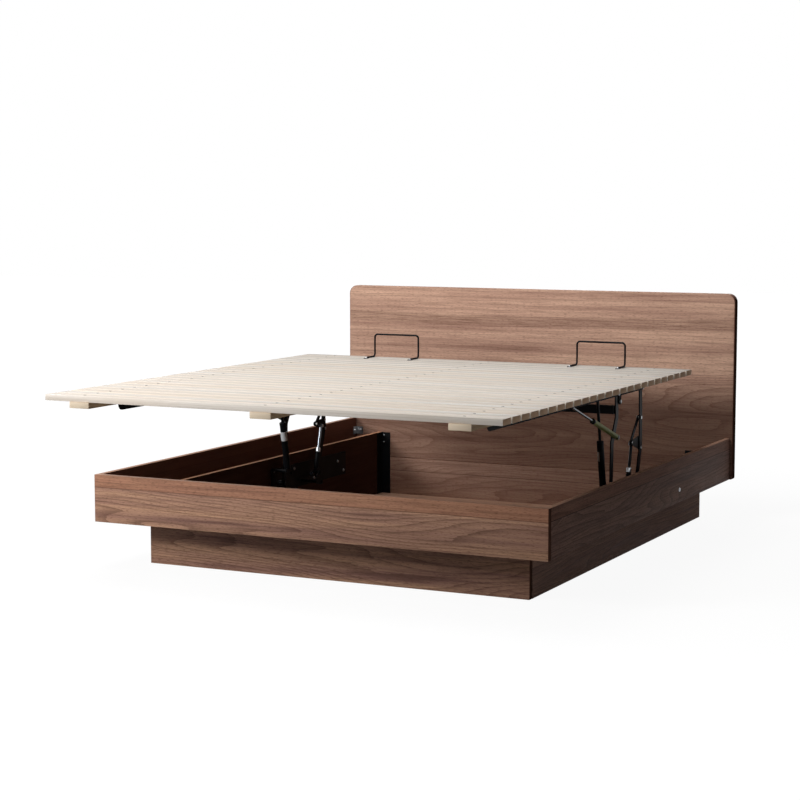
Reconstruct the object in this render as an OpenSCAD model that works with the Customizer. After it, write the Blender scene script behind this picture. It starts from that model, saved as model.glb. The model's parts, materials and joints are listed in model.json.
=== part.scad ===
// Lift-up platform bed with a storage box, drawn with the slatted platform raised.
// Origin: centre of the plinth's footprint on the floor. +Y points to the headboard, +X to its right.
// Everything on the right-hand side is drawn once and mirrored for the left.

/* [Bed frame] */
// Width over the side rails
bed_w = 1860; // [1500:10:2000]
// Length from the foot rail's outer face to the headboard's face
bed_len = 2130; // [2080:10:2260]
// Height of the rails' lower edge above the floor
rail_z = 178; // [150:1:200]
// Height of the rails
rail_h = 182; // [160:1:210]
// Thickness of the side rails
side_rail_t = 22; // [18:1:28]
// Thickness of the foot rail, which laps the ends of the side rails
foot_rail_t = 26; // [18:1:32]

/* [Headboard] */
// Height of the headboard's top above the floor
headboard_top = 991; // [800:1:1200]
// Thickness of the headboard
headboard_t = 42; // [25:1:60]
// How far the headboard stands out past each side rail
headboard_over = 13; // [2:1:40]
// Radius of the headboard's upper corners
headboard_r = 38; // [15:1:90]
// Radius of the headboard's lower corners
headboard_foot_r = 8; // [3:1:12]

/* [Storage box] */
// Height of the storage box
box_h = 297; // [280:1:310]
// Distance from the side rail's outer face to the plinth
plinth_side_inset = 138; // [110:1:170]
// Distance from the foot rail's outer face to the plinth
plinth_foot_inset = 172; // [120:1:220]
// Thickness of the box's side boards
box_side_t = 18; // [15:1:22]
// Thickness of the box's front board, which laps the side boards
box_front_t = 25; // [18:1:32]
// Thickness of the box's rear board, under the headboard
box_rear_t = 18; // [15:1:24]
// Thickness of the boards that join the box to the rails
soffit_t = 18; // [12:1:24]
// Height of the flat bearers under the storage floor
bearer_h = 2; // [1.5:0.5:20]
// Width of the bearers under the storage floor
bearer_w = 50; // [30:1:80]
// Thickness of the storage floor
floor_t = 4; // [3:0.5:9]

/* [Platform] */
// Number of slats
slat_count = 25; // [18:1:25]
// Distance from one slat to the next
slat_pitch = 80; // [77:0.5:81]
// Width of a slat
slat_w = 76; // [60:1:76]
// Thickness of a slat
slat_t = 22; // [18:1:26]
// Gap between the slats' ends and the side rails
slat_end_gap = 5; // [3:1:20]
// Width of the battens under the slats
batten_w = 84; // [60:1:90]
// Thickness of the battens
batten_t = 23; // [18:1:28]
// Distance from the bed's side to the middle of the outer batten
batten_inset = 178; // [174:1:190]
// Gap between the foot rail and the platform once it is lowered
closed_foot_gap = 21; // [8:1:40]
// Gap left between the lowered platform and the box
closed_seat_gap = 0.5; // [0.3:0.1:2]
// Diameter of a slat screw's head
screw_head_d = 8; // [6:0.5:10]
// Diameter of a slat screw's shank
screw_d = 4; // [3:0.5:5]
// Length of a slat screw
screw_len = 36; // [28:1:40]

/* [Lift linkage] */
// Distance from the foot rail's outer face to the front arm's lower pivot
front_pivot_y = 1136; // [1100:1:1180]
// Distance from the front arm's pivots to the rear arm's
arm_spacing = 287; // [275:1:300]
// Height of the arms' lower pivots
base_pivot_z = 187; // [182:1:195]
// Rise from an arm's lower pivot to its upper pivot, raised
arm_rise = 450; // [440:1:460]
// Run from an arm's lower pivot to its upper pivot, raised
arm_run = 57; // [50:1:62]
// Width of the arms' flat bar
arm_w = 30; // [26:1:32]
// Thickness of the arms' flat bar
arm_t = 5; // [4:0.5:5.5]
// Distance of the arms' outer faces from the box's side boards
arm_inset = 31; // [30:0.5:33]
// Diameter of the arms' pivot pins
pivot_d = 12; // [8:1:14]
// Side of the steel angle that carries the platform
rail_angle_w = 30; // [28:1:32]
// Thickness of that steel angle
rail_angle_t = 4; // [3:0.5:4.5]
// Height from the arms' upper pivots to the battens
pivot_to_batten = 18; // [17:0.5:20]
// Distance from the foot end of the angle to the front arm's upper pivot
rail_angle_front = 1293; // [1100:1:1400]
// Length of the steel angle
rail_angle_len = 1600; // [1595:1:1800]
// Radius of the angle's cut-away front corner
rail_angle_r = 22; // [12:1:25]
// Depth of the cross beam between the front arms
beam_w = 24; // [16:1:26]
// Height of the cross beam
beam_h = 34; // [20:1:35]
// Distance of the cross beam below the front arms' upper pivots
beam_drop = 65; // [62:1:68]
// Wall of the cross beam
beam_wall = 2; // [1.5:0.5:3]
// Thickness of the base plate on the box side
base_plate_t = 3; // [2:0.5:4]
// Height of the base plate
base_plate_h = 104; // [98:1:106]
// Length of the base plate
base_plate_len = 682; // [670:1:720]
// Thickness of the small plates that hold the struts' lower pins
cheek_t = 3; // [2:0.5:4]

/* [Gas struts] */
// Diameter of the lift spring's cylinder
spring_d = 21; // [18:0.5:21]
// Length of the lift spring's cylinder
spring_len = 297; // [280:1:310]
// Diameter of the lift spring's rod
spring_rod_d = 10; // [8:0.5:12]
// Diameter of the front strut's cylinder
strut_d = 27; // [18:0.5:28]
// Length of the front strut's cylinder
strut_len = 223; // [200:1:240]
// Diameter of the front strut's rod
strut_rod_d = 12; // [8:0.5:14]
// Diameter of the rear stay's guide tube
stay_d = 20; // [18:0.5:20]
// Length of the rear stay's guide tube
stay_len = 106; // [92:1:112]
// Diameter of the rear stay's rod
stay_rod_d = 12; // [8:0.5:13]

/* [Mattress retainers] */
// Diameter of the retainers' steel wire
wire_d = 8; // [6:0.5:10]
// Width of a retainer
retainer_w = 222; // [180:1:260]
// Height of a retainer above the slats
retainer_h = 106; // [80:1:140]
// Length of a retainer's feet
retainer_foot = 96; // [70:1:120]
// Radius of the wire's bends, to its middle
retainer_r = 14; // [10:1:20]
// Distance of the left retainer's middle from the bed's middle
retainer_left_x = 448; // [300:1:600]
// Distance of the right retainer's middle from the bed's middle
retainer_right_x = 512; // [300:1:600]
// Distance of the retainers' uprights from the platform's head end
retainer_inset = 26; // [12:1:60]

/* [Fits] */
// Radial clearance of a pin in a turning bore
pivot_gap = 0.08; // [0.02:0.02:0.2]
// Radial clearance of a strut's rod in its tube
rod_gap = 0.08; // [0.02:0.02:0.2]
// Gap between faces that slide past each other
face_gap = 0.3; // [0.2:0.05:0.5]
// Radial clearance of a fixed bolt in its hole
bolt_gap = 0.1; // [0.05:0.05:0.3]

/* [Hidden] */

$fn = 48;

// Colours
walnut = "#7a5a48";
dark_board = "#3a2a24";
pale_wood = "#dccfbd";
black_steel = "#26282c";
zinc = "#b9bcc0";
chrome = "#c9ccd0";
olive = "#6d7454";

// Frame
half_w = bed_w / 2;
rail_in = half_w - side_rail_t;
rail_top = rail_z + rail_h;
plinth_half = half_w - plinth_side_inset;
box_in = plinth_half - box_side_t;
plinth_len = bed_len - plinth_foot_inset + box_rear_t;
foot_y = -(plinth_foot_inset + plinth_len / 2);
head_y = foot_y + bed_len;
box_front_y = foot_y + plinth_foot_inset;
box_in_front_y = box_front_y + box_front_t;
floor_z = bearer_h + floor_t;

// Linkage: lower pivots, upper pivots and the travel of the platform
arm_len = norm([arm_run, arm_rise]);
front_base = [foot_y + front_pivot_y, base_pivot_z];
rear_base = front_base + [arm_spacing, 0];
front_top = front_base + [arm_run, arm_rise];
rear_top = rear_base + [arm_run, arm_rise];
batten_z = front_top[1] + pivot_to_batten;
slat_z = batten_z + batten_t;
deck_z = slat_z + slat_t;
drop = batten_z - box_h - closed_seat_gap;
closed_angle = asin((arm_rise - drop) / arm_len);
travel = arm_len * cos(closed_angle) - arm_run;

// Platform
platform_len = slat_count * slat_pitch - (slat_pitch - slat_w);
platform_y = foot_y + foot_rail_t + closed_foot_gap - travel;
slat_half = rail_in - slat_end_gap;
batten_x = half_w - batten_inset;
batten_xs = [-batten_x, 0, batten_x];

// Layers of the mechanism, from the box side inwards
base_plate_x = box_in - base_plate_t;
arm_out = box_in - arm_inset;
arm_in = arm_out - arm_t;
rail_angle_x = arm_out + face_gap;
spring_x = (rail_angle_x + rail_angle_t + base_plate_x) / 2 + 0.4;
plate_t = 5;
plate_x = arm_in - plate_t - 0.3;
link_x = plate_x - plate_t - 0.2;
stay_inset = 16;
strut_step = 6;
cheek_gap = 15;
stay_x = arm_in - stay_inset;
strut_x = stay_x - strut_step;
cheek_x = strut_x - cheek_gap - cheek_t;

// Lower and upper pivots of the three struts, in the plane of the linkage
spring_low_back = 39;
spring_low_drop = 172;
spring_reach = 545;
spring_high_drop = 1;
strut_low_back = 15;
strut_low_rise = 49;
strut_reach = 151;
strut_high_drop = 5;
stay_low_back = 45;
stay_low_rise = 18;
stay_high_ahead = 7;
stay_high_rise = 218;
spring_low = front_top - [spring_low_back, spring_low_drop];
spring_high = front_top - [spring_reach, spring_high_drop];
strut_low = front_base + [-strut_low_back, strut_low_rise];
strut_high = front_top - [strut_reach, strut_high_drop];
stay_low = rear_base + [-stay_low_back, stay_low_rise];
stay_high = rear_base + [stay_high_ahead, stay_high_rise];
spring_open = norm(spring_high - spring_low);
strut_open = norm(strut_high - strut_low);
stay_open = norm(stay_high - stay_low);
spring_rod_len = 281;
strut_rod_len = 212;
stay_rod_len = 186;

// Bends of the two arms, from the lower pivot to the upper one
front_arm_line = [front_base, front_base + [10, 258], front_top + [5, -97], front_top];
rear_arm_line = [rear_base, rear_base + [65, 199], rear_top + [7, -127], rear_top];

// Points of the plate and link on the rear arm
knuckle = rear_arm_line[2];
plate_pin = rear_arm_line[1];
plate_toe = rear_base + [-25, 229];
plate_heel = rear_base + [61, 238];
link_w = 16;

eye_over = 2;
eye_w = 13;
eye_d = 20;
pin_d = 8;
rod_eye_d = 16;
sleeve_d = 10;
head_t = 4;

// ---------- helpers ----------

// Outline in the Y-Z plane, given thickness from x outwards
module plate_at(x, t) {
    translate([x, 0, 0]) rotate([90, 0, 90]) linear_extrude(t) children();
}

// Round bar along X
module rod_x(p, x0, x1, d) {
    translate([x0, p[0], p[1]]) rotate([0, 90, 0]) cylinder(d = d, h = x1 - x0);
}

// One long edge of a flat bar w wide through a list of points, mitred at each bend
function bar_edge(points, w) =
    let (last = len(points) - 1)
    [for (i = [0:last])
        let (
            before = points[max(i, 1)] - points[max(i, 1) - 1],
            after = points[min(i + 1, last)] - points[min(i + 1, last) - 1],
            aim = before / norm(before) + after / norm(after),
            across = [-aim[1], aim[0]]
        )
        points[i] + across * w / (across * across)];

function backwards(list) = [for (i = [len(list) - 1:-1:0]) list[i]];

// Flat bar through a list of points, with a round eye at each end a little wider than the bar
module flat_bar(x, t, points, w) {
    plate_at(x, t) polygon(concat(bar_edge(points, w), backwards(bar_edge(points, -w))));
    for (p = [points[0], points[len(points) - 1]]) rod_x(p, x, x + t, w + eye_over);
}

// Holes through a flat bar or plate at x
module holes(x, t, points, d) {
    for (p = points) rod_x(p, x - 1, x + t + 1, d);
}

// Flat plate around a list of pins, with round corners
module pin_plate(x, t, pins, corner_d, bore_d) {
    difference() {
        plate_at(x, t) hull() for (p = pins) translate(p) circle(d = corner_d, $fn = 32);
        holes(x, t, pins, bore_d);
    }
}

// Rectangle standing on the X axis, with round upper and lower corners
module panel_2d(w, h, r_top, r_low) {
    translate([-w / 2, r_low]) square([w, h - r_top - r_low]);
    translate([-w / 2 + r_top, h - r_top]) square([w - 2 * r_top, r_top]);
    translate([-w / 2 + r_low, 0]) square([w - 2 * r_low, r_low]);
    for (s = [-1, 1]) {
        translate([s * (w / 2 - r_top), h - r_top]) circle(r = r_top);
        translate([s * (w / 2 - r_low), r_low]) circle(r = r_low);
    }
}

// Frame whose Z axis runs from p to q in the Y-Z plane, at x
module along(x, p, q) {
    step = q - p;
    translate([x, p[0], p[1]]) rotate([-atan2(step[0], step[1]), 0, 0]) children();
}

// Hexagon bolt head or nut along X
module hex_x(p, x0, x1, across) {
    translate([x0, p[0], p[1]]) rotate([0, 90, 0])
        cylinder(d = across / cos(30), h = x1 - x0, $fn = 6);
}

module left() {
    mirror([1, 0, 0]) children();
}

module both() {
    children();
    left() children();
}

// ---------- boards ----------

module headboard() {
    color(walnut) translate([0, head_y + headboard_t, rail_z]) rotate([90, 0, 0])
        linear_extrude(headboard_t)
            panel_2d(2 * (half_w + headboard_over), headboard_top - rail_z,
                headboard_r, headboard_foot_r, $fn = 96);
}

module foot_rail() {
    color(walnut) translate([-half_w, foot_y, rail_z]) cube([bed_w, foot_rail_t, rail_h]);
}

module side_rail_right() {
    color(walnut) difference() {
        translate([rail_in, foot_y + foot_rail_t, rail_z])
            cube([side_rail_t, bed_len - foot_rail_t, rail_h]);
        rod_x(cap_at, rail_in - 1, half_w + 1, cap_shank_d + 2 * bolt_gap);
    }
}

module box_front() {
    color(walnut) translate([-plinth_half, box_front_y, 0])
        cube([2 * plinth_half, box_front_t, box_h]);
}

// The side board is rebated at its head end, where the headboard stands over the plinth
module box_side_right() {
    color(walnut) difference() {
        translate([box_in, box_in_front_y, 0])
            cube([box_side_t, head_y + box_rear_t - box_in_front_y, box_h]);
        translate([box_in - 1, head_y, rail_z]) cube([box_side_t + 2, box_rear_t + 1, box_h]);
    }
}

module box_rear() {
    color(walnut) translate([-box_in, head_y, 0]) cube([2 * box_in, box_rear_t, rail_z]);
}

module storage_floor_right() {
    color(walnut) translate([0, box_in_front_y, bearer_h])
        cube([box_in, head_y - box_in_front_y, floor_t]);
}

module bearer(x) {
    translate([x - bearer_w / 2, box_in_front_y, 0])
        cube([bearer_w, head_y - box_in_front_y, bearer_h]);
}

module floor_bearer_centre() {
    color(pale_wood) bearer(0);
}

module floor_bearers_side() {
    color(pale_wood) both() bearer(box_in - bearer_w / 2);
}

// Boards that close the overhang between the box and the rails
module soffit_right() {
    color(dark_board) translate([plinth_half, foot_y + foot_rail_t, rail_z])
        cube([rail_in - plinth_half, bed_len - foot_rail_t, soffit_t]);
}

module soffit_foot() {
    color(dark_board) translate([-plinth_half, foot_y + foot_rail_t, rail_z])
        cube([2 * plinth_half, plinth_foot_inset - foot_rail_t, soffit_t]);
}

// ---------- frame hardware ----------

bracket_leg = 36;
bracket_t = 3;
bracket_z = rail_z + 104;
bracket_h = 36;
bracket_bolt_d = 7;
bracket_bolt_at = 22;
bracket_ys = [foot_y + foot_rail_t, head_y];

// Angle in a corner of the frame: one leg on the side rail, one on the board across its end
module rail_bracket(end) {
    y = bracket_ys[end];
    dir = end == 0 ? 1 : -1;
    translate([rail_in, y, bracket_z]) scale([-1, dir, 1]) difference() {
        union() {
            cube([bracket_leg, bracket_t, bracket_h]);
            cube([bracket_t, bracket_leg, bracket_h]);
        }
        translate([bracket_bolt_at, -1, bracket_h / 2]) rotate([-90, 0, 0])
            cylinder(d = bracket_bolt_d, h = bracket_t + 2);
        translate([-1, bracket_bolt_at, bracket_h / 2]) rotate([0, 90, 0])
            cylinder(d = bracket_bolt_d, h = bracket_t + 2);
    }
}

module rail_brackets() {
    color(zinc) both() for (end = [0, 1]) rail_bracket(end);
}

// Round-headed bolt, its head on a face and its shank running into the hole
module bolt(head_d, shank_d, shank) {
    cylinder(d1 = head_d, d2 = head_d * 0.7, h = 4, $fn = 32);
    translate([0, 0, -shank]) cylinder(d = shank_d, h = shank);
}

module rail_bracket_bolts() {
    color(zinc) both() for (end = [0, 1]) {
        dir = end == 0 ? 1 : -1;
        translate([rail_in - bracket_bolt_at, bracket_ys[end] + dir * bracket_t,
            bracket_z + bracket_h / 2])
            rotate([-90 * dir, 0, 0]) bolt(13, bracket_bolt_d - 2 * bolt_gap, bracket_t - 0.1);
        translate([rail_in - bracket_t, bracket_ys[end] + dir * bracket_bolt_at,
            bracket_z + bracket_h / 2])
            rotate([0, -90, 0]) bolt(13, bracket_bolt_d - 2 * bolt_gap, bracket_t - 0.1);
    }
}

corner_leg = 46;
corner_t = 3;
corner_top = box_h - 1;

// Steel angles that hold the corners of the storage box
module box_corner_angles() {
    color(black_steel) both() for (end = [0, 1]) {
        y = end == 0 ? box_in_front_y : head_y;
        dir = end == 0 ? 1 : -1;
        translate([box_in, y, floor_z]) scale([-1, dir, 1]) {
            cube([corner_leg, corner_t, corner_top - floor_z]);
            cube([corner_t, corner_leg, corner_top - floor_z]);
        }
    }
}

// Bolt with a round cap that holds the side rail to the box
cap_back = 700;
cap_up = 52;
cap_at = [head_y - cap_back, rail_z + cap_up];
cap_d = 18;
cap_shank_d = 8;

module rail_bolt_caps() {
    color(zinc) both() {
        translate([half_w, cap_at[0], cap_at[1]]) rotate([0, 90, 0]) cylinder(d1 = cap_d, d2 = 13, h = 3);
        rod_x(cap_at, rail_in - 6, half_w, cap_shank_d);
        hex_x(cap_at, rail_in - 6, rail_in, 13);
    }
}

// ---------- base of the linkage ----------

plate_front = 62;
plate_drop = 41;
plate_y = front_base[0] - plate_front;
plate_z = base_pivot_z - plate_drop;
plate_bolts = [[24, 94], [122, 12], [200, 84], [378, 20], [604, 66], [660, 19]];
base_bolt_d = 8;

module base_plate_right() {
    color(black_steel) difference() {
        plate_at(base_plate_x, base_plate_t) difference() {
            translate([plate_y, plate_z]) square([base_plate_len, base_plate_h]);
            for (p = plate_bolts)
                translate([plate_y, plate_z] + p) circle(d = base_bolt_d + 2 * bolt_gap);
        }
    }
}

module base_plate_bolts() {
    color(zinc) both() for (p = plate_bolts)
        translate([base_plate_x, plate_y + p[0], plate_z + p[1]]) rotate([0, -90, 0])
            bolt(14, base_bolt_d, base_plate_t - 0.1);
}

// Lower pins of the arms, each with a spacer against the base plate and a head inside the arm
module base_pivot_pins() {
    color(zinc) both() for (p = [front_base, rear_base]) {
        rod_x(p, arm_out + face_gap, base_plate_x, pivot_d + 8);
        rod_x(p, arm_in - face_gap, arm_out + face_gap, pivot_d);
        rod_x(p, arm_in - face_gap - head_t, arm_in - face_gap, pivot_d + 8);
    }
}

front_spacers = [front_base + [-58, -19], front_base + [28, -27], front_base + [-56, 61]];
rear_spacers = [rear_base + [-83, -17], rear_base + [-33, -27]];
spacer_d = 12;

// Small plates on spacers, which carry the lower pins of the struts clear of the arms
module strut_cheeks() {
    color(black_steel) both() {
        pin_plate(cheek_x, cheek_t, concat(front_spacers, [strut_low]), 22, pin_d + 2 * bolt_gap);
        pin_plate(cheek_x, cheek_t, concat(rear_spacers, [stay_low]), 22, pin_d + 2 * bolt_gap);
    }
}

// Spacer bolts from the base plate to the small plates, and the struts' lower pins
module strut_cheek_bolts() {
    color(black_steel) both() {
        for (p = concat(front_spacers, rear_spacers)) {
            rod_x(p, cheek_x + cheek_t, base_plate_x, spacer_d);
            rod_x(p, cheek_x, cheek_x + cheek_t, pin_d);
            hex_x(p, cheek_x - head_t, cheek_x, 13);
        }
        strut_pin(strut_low, strut_x);
        strut_pin(stay_low, stay_x);
    }
}

module strut_pin(p, x) {
    eye_in = x - eye_w / 2 - face_gap;
    eye_out = x + eye_w / 2 + face_gap;
    hex_x(p, cheek_x - head_t, cheek_x, 14);
    rod_x(p, cheek_x, cheek_x + cheek_t, pin_d);
    rod_x(p, cheek_x + cheek_t, eye_in, 14);
    rod_x(p, eye_in, eye_out, pin_d);
    rod_x(p, eye_out, eye_out + 3, 14);
}

// ---------- arms ----------

module front_arm_right() {
    color(black_steel) difference() {
        flat_bar(arm_in, arm_t, front_arm_line, arm_w);
        holes(arm_in, arm_t, [front_base, front_top], pivot_d + 2 * pivot_gap);
        holes(arm_in, arm_t, [spring_low], pin_d + 2 * bolt_gap);
    }
}

module rear_arm_right() {
    color(black_steel) difference() {
        flat_bar(arm_in, arm_t, rear_arm_line, arm_w);
        holes(arm_in, arm_t, [rear_base, rear_top], pivot_d + 2 * pivot_gap);
        holes(arm_in, arm_t, [knuckle, plate_pin], pin_d + 2 * bolt_gap);
    }
}

// Square tube welded between the front arms
module cross_beam() {
    beam_at = front_top + [-15, -beam_drop];
    color(black_steel) translate([-arm_in, beam_at[0] - beam_w / 2, beam_at[1] - beam_h / 2])
        difference() {
            cube([2 * arm_in, beam_w, beam_h]);
            translate([-1, beam_wall, beam_wall])
                cube([2 * arm_in + 2, beam_w - 2 * beam_wall, beam_h - 2 * beam_wall]);
        }
}

// Studs on the front arms that carry the lift springs' lower eyes
module spring_studs() {
    color(zinc) both() {
        eye_in = spring_x - eye_w / 2 - face_gap;
        eye_out = spring_x + eye_w / 2 + face_gap;
        rod_x(spring_low, arm_in - head_t, arm_in, 14);
        rod_x(spring_low, arm_in, arm_out, pin_d);
        rod_x(spring_low, arm_out, eye_in, sleeve_d);
        rod_x(spring_low, eye_in, eye_out, pin_d);
        rod_x(spring_low, eye_out, eye_out + 1.5, 14);
    }
}

// Three-cornered plate on the rear arm, to which the stay is pinned
module rear_arm_plates() {
    color(black_steel) both()
        pin_plate(plate_x, plate_t, [plate_toe, plate_pin, plate_heel], 18, pin_d + 2 * bolt_gap);
}

// Link from the plate's toe up to the knuckle of the rear arm
module rear_arm_links() {
    color(black_steel) both() difference() {
        flat_bar(link_x, plate_t, [plate_toe, knuckle], link_w);
        holes(link_x, plate_t, [plate_toe, knuckle], pin_d + 2 * bolt_gap);
    }
}

module rear_arm_pins() {
    color(zinc) both() {
        rod_x(plate_toe, link_x, plate_x + plate_t, pin_d);
        rod_x(plate_toe, link_x - 3, link_x, 13);
        rod_x(knuckle, link_x, arm_out, pin_d);
        rod_x(knuckle, link_x - 3, link_x, 13);
        rod_x(knuckle, link_x + plate_t, arm_in, 14);
        rod_x(knuckle, arm_out, arm_out + 3, 13);
        rod_x(plate_pin, plate_x, arm_out, pin_d);
        rod_x(plate_pin, plate_x - 3, plate_x, 13);
        rod_x(plate_heel, plate_x, plate_x + plate_t, pin_d);
        rod_x(plate_heel, plate_x - 3, plate_x, 13);
        rod_x(plate_pin, arm_out, arm_out + 3, 13);
    }
}

// ---------- struts ----------

// Closed tube with an eye at its foot, bored for the rod
module strut_tube(x, p, q, d, len, bore) {
    foot = eye_d / 2 + 4;
    along(x, p, q) difference() {
        union() {
            rotate([0, 90, 0]) cylinder(d = eye_d, h = eye_w, center = true);
            cylinder(d = eye_w - 1, h = foot + 1);
            translate([0, 0, foot]) cylinder(d = d, h = len - foot);
        }
        rotate([0, 90, 0]) cylinder(d = pin_d + 2 * pivot_gap, h = eye_w + 2, center = true);
        translate([0, 0, foot + 4]) cylinder(d = bore, h = len);
    }
}

// Rod with an eye at its head, measured back from the head pivot
module strut_rod(x, p, q, d, len) {
    along(x, q, p) difference() {
        union() {
            rotate([0, 90, 0]) cylinder(d = rod_eye_d, h = eye_w, center = true);
            cylinder(d = d, h = len);
        }
        rotate([0, 90, 0]) cylinder(d = pin_d + 2 * bolt_gap, h = eye_w + 2, center = true);
    }
}

// Bolt through a rod's eye, whose tip ends just short of the part it points at
module eye_bolt(p, x, tip) {
    dir = tip > x ? 1 : -1;
    face = x - dir * eye_w / 2;
    far = x + dir * eye_w / 2;
    rod_x(p, min(face, tip), max(face, tip), pin_d);
    rod_x(p, min(far, tip), max(far, tip), sleeve_d);
    hex_x(p, min(face, face - dir * head_t), max(face, face - dir * head_t), 13);
}

module lift_spring_cylinder_right() {
    color(olive) strut_tube(spring_x, spring_low, spring_high, spring_d, spring_len,
        spring_rod_d + 2 * rod_gap);
}

module lift_spring_rod_right() {
    color(chrome) strut_rod(spring_x, spring_low, spring_high, spring_rod_d, spring_rod_len);
}

module lift_spring_bolts() {
    color(zinc) both() eye_bolt(spring_high, spring_x, rail_angle_x + rail_angle_t + face_gap);
}

module front_strut_cylinder_right() {
    color(black_steel) strut_tube(strut_x, strut_low, strut_high, strut_d, strut_len,
        strut_rod_d + 2 * rod_gap);
}

// Plain band around the front strut's cylinder
band_at = 145;
band_h = 39;

module front_strut_bands() {
    band_d = strut_d + 0.1;
    color(zinc) both() along(strut_x, strut_low, strut_high) translate([0, 0, band_at]) difference() {
        cylinder(d = band_d + 1, h = band_h);
        translate([0, 0, -1]) cylinder(d = band_d, h = band_h + 2);
    }
}

module front_strut_rod_right() {
    color(black_steel) strut_rod(strut_x, strut_low, strut_high, strut_rod_d, strut_rod_len);
}

module front_strut_bolts() {
    color(zinc) both() eye_bolt(strut_high, strut_x, rail_angle_x - face_gap);
}

module rear_stay_guide_right() {
    color(black_steel) strut_tube(stay_x, stay_low, stay_high, stay_d, stay_len,
        stay_rod_d + 2 * rod_gap);
}

module rear_stay_rod_right() {
    color(chrome) strut_rod(stay_x, stay_low, stay_high, stay_rod_d, stay_rod_len);
}

module rear_stay_bolts() {
    color(zinc) both() eye_bolt(stay_high, stay_x, plate_x - face_gap);
}

// ---------- platform ----------

function slat_y(i) = platform_y + i * slat_pitch;

module slats() {
    head_t = 2.5;
    color(pale_wood) for (i = [0:slat_count - 1]) difference() {
        translate([-slat_half, slat_y(i), slat_z]) cube([2 * slat_half, slat_w, slat_t]);
        for (x = batten_xs) translate([x, slat_y(i) + slat_w / 2, slat_z]) {
            translate([0, 0, -1]) cylinder(d = screw_d + 2 * bolt_gap, h = slat_t + 2);
            translate([0, 0, slat_t - head_t]) cylinder(d = screw_head_d + 2 * bolt_gap, h = head_t + 1);
        }
    }
}

module slat_screws() {
    color(zinc) for (i = [0:slat_count - 1], x = batten_xs)
        translate([x, slat_y(i) + slat_w / 2, deck_z - 2.5]) {
            cylinder(d = screw_head_d, h = 1.5);
            translate([0, 0, -(screw_len - 2.5)]) cylinder(d = screw_d, h = screw_len - 2.5);
        }
}

module batten(x) {
    color(pale_wood) difference() {
        translate([x - batten_w / 2, platform_y, batten_z]) cube([batten_w, platform_len, batten_t]);
        for (i = [0:slat_count - 1]) translate([x, slat_y(i) + slat_w / 2, deck_z - screw_len - 1])
            cylinder(d = screw_d + 2 * bolt_gap, h = screw_len);
    }
}

module batten_left() {
    batten(-batten_x);
}

module batten_centre() {
    batten(0);
}

module batten_right() {
    batten(batten_x);
}

rail_angle_y = front_top[0] - rail_angle_front;
stop_d = 16;
stop_at = front_top + [stop_d / 2 + arm_w / 2 + 1.9 + face_gap, -35];

// Steel angle under the outer batten, with a tab for the stop of the front arm
module upper_rail_right() {
    low = batten_z - rail_angle_w;
    color(black_steel) {
        difference() {
            union() {
                plate_at(rail_angle_x, rail_angle_t) polygon(concat(
                    [for (a = [180:15:270]) [
                        rail_angle_y + rail_angle_r * (1 + cos(a)),
                        low + rail_angle_r * (1 + sin(a))
                    ]],
                    [
                        [rail_angle_y + rail_angle_len, low],
                        [rail_angle_y + rail_angle_len, batten_z],
                        [rail_angle_y, batten_z]
                    ]
                ));
                flat_bar(rail_angle_x, rail_angle_t, [stop_at, stop_at + [0, 30]], 24);
            }
            holes(rail_angle_x, rail_angle_t, [front_top, rear_top], pivot_d + 2 * bolt_gap);
            holes(rail_angle_x, rail_angle_t, [stop_at], pin_d + 2 * bolt_gap);
        }
        translate([rail_angle_x + rail_angle_t, rail_angle_y, batten_z - rail_angle_t])
            cube([rail_angle_w - rail_angle_t, rail_angle_len, rail_angle_t]);
    }
}

// Bolts at the arms' upper pivots, and the stop bolts that the front arms lean on
module upper_pivot_bolts() {
    color(zinc) both() {
        for (p = [front_top, rear_top]) {
            rod_x(p, arm_in - face_gap, rail_angle_x + rail_angle_t, pivot_d);
            rod_x(p, arm_in - face_gap - 4, arm_in - face_gap, 18);
            hex_x(p, rail_angle_x + rail_angle_t, rail_angle_x + rail_angle_t + 6, 18);
        }
        rod_x(stop_at, arm_in, rail_angle_x, stop_d);
        rod_x(stop_at, rail_angle_x, rail_angle_x + rail_angle_t, pin_d);
        hex_x(stop_at, rail_angle_x + rail_angle_t, rail_angle_x + rail_angle_t + 5, 13);
    }
}

// ---------- mattress retainers ----------

retainer_y = platform_y + platform_len - retainer_inset;
tab_l = 20;
tab_t = 3;

// Round wire bend of 90 degrees, from +X round to +Y about the bend's centre
module bend() {
    rotate_extrude(angle = 90) translate([retainer_r, 0]) circle(d = wire_d);
}

// Half of a retainer: foot, upright and half of the top bar, for x from the middle outwards
module retainer_half() {
    half = retainer_w / 2 - wire_d / 2;
    low = wire_d / 2;
    top = retainer_h - wire_d / 2;
    translate([0, 0, top]) rotate([0, 90, 0]) cylinder(d = wire_d, h = half - retainer_r);
    translate([half - retainer_r, 0, top - retainer_r]) rotate([90, 0, 0]) bend();
    translate([half, 0, low + retainer_r]) cylinder(d = wire_d, h = top - low - 2 * retainer_r);
    translate([half, -retainer_r, low + retainer_r]) rotate([0, 90, 0]) bend();
    translate([half, -retainer_r, low]) rotate([90, 0, 0])
        cylinder(d = wire_d, h = retainer_foot - retainer_r - tab_l);
    difference() {
        translate([half - wire_d, -retainer_foot, 0]) cube([2 * wire_d, tab_l + 2, tab_t]);
        translate([half, -retainer_foot + tab_l / 2, -1]) cylinder(d = screw_d + 2 * bolt_gap, h = tab_t + 2);
    }
}

retainer_xs = [-retainer_left_x, retainer_right_x];

module retainers() {
    color(black_steel) for (x = retainer_xs) translate([x, retainer_y, deck_z]) {
        retainer_half();
        left() retainer_half();
    }
}

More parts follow.
